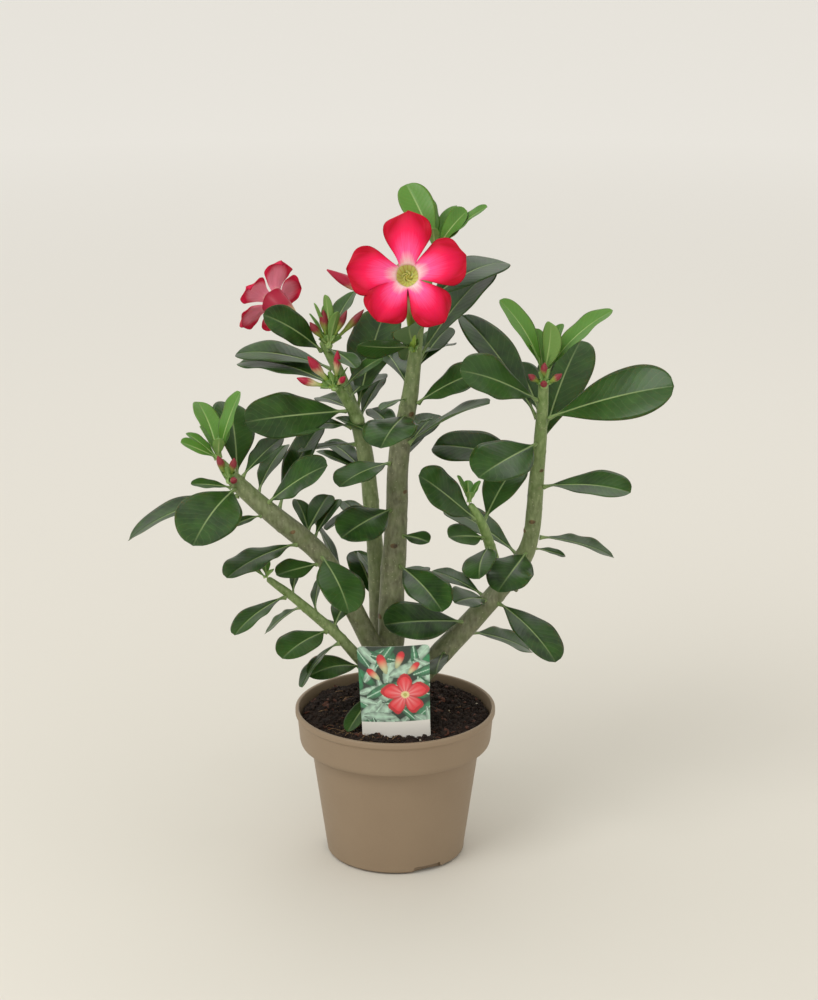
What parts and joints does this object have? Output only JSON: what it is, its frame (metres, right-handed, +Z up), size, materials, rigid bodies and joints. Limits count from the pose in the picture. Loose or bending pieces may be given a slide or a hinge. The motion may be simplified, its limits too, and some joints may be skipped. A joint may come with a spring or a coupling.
{
  "type": "potted desert rose adenium",
  "caption": "Potted desert rose: a swollen-based succulent shrub with upright leafy stems, trumpet flowers and buds, in a tapered round nursery pot of peat with a plain stick label.",
  "frame": {"origin": "centre of the pot's underside, on the surface it stands on", "axes": "+Z up along the pot's axis, -Y towards the front, where the label stands, +X to the right seen from the front"},
  "size_m": [0.3907, 0.1893, 0.5042],
  "materials": {
    "pot_plastic": "matt moulded polypropylene, taupe",
    "peat": null,
    "label_print": "thin printed polystyrene stick label",
    "stem_bark": "smooth grey-green living bark",
    "leaf": null,
    "young_leaf": null,
    "bud": null,
    "petal": null
  },
  "bodies": {
    "root": {"back_flower": "petal", "caudex": "stem_bark", "crown_bud": "bud", "front_flower": "petal", "inner_shoot": "stem_bark", "inner_shoot_leaf_01": "leaf", "inner_shoot_leaf_02": "leaf", "inner_shoot_leaf_03": "leaf", "inner_shoot_tip_leaves": "young_leaf", "left_branch": "stem_bark", "left_branch_leaf_01": "leaf", "left_branch_leaf_02": "leaf", "left_branch_leaf_03": "leaf", "left_branch_leaf_04": "leaf", "left_branch_leaf_05": "leaf", "left_branch_leaf_06": "leaf", "left_branch_leaf_07": "leaf", "left_branch_tip_leaves": "young_leaf", "left_bud_cluster": "bud", "low_left_branch": "stem_bark", "low_left_branch_leaf_01": "leaf", "low_left_branch_leaf_02": "leaf", "low_left_branch_tip_leaves": "young_leaf", "lower_bud_cluster": "bud", "main_stem": "stem_bark", "main_stem_leaf_01": "leaf", "main_stem_leaf_02": "leaf", "main_stem_leaf_03": "leaf", "main_stem_leaf_04": "leaf", "main_stem_leaf_05": "leaf", "main_stem_leaf_06": "leaf", "main_stem_leaf_07": "leaf", "main_stem_leaf_08": "leaf", "main_stem_tip_leaves": "young_leaf", "plant_label": "label_print", "pot": "pot_plastic", "right_branch": "stem_bark", "right_branch_leaf_01": "leaf", "right_branch_leaf_02": "leaf", "right_branch_leaf_03": "leaf", "right_branch_leaf_04": "leaf", "right_branch_leaf_05": "leaf", "right_branch_leaf_06": "leaf", "right_branch_leaf_07": "leaf", "right_branch_leaf_08": "leaf", "right_branch_leaf_09": "leaf", "right_branch_leaf_10": "leaf", "right_branch_leaf_11": "leaf", "right_branch_leaf_12": "leaf", "right_branch_tip_leaves": "young_leaf", "right_bud_cluster": "bud", "second_stem": "stem_bark", "second_stem_leaf_01": "leaf", "second_stem_leaf_02": "leaf", "second_stem_leaf_03": "leaf", "second_stem_leaf_04": "leaf", "soil": "peat", "upper_bud_cluster": "bud", "upper_shoot_leaf_01": "leaf", "upper_shoot_leaf_02": "leaf"}
  },
  "joints": []
}
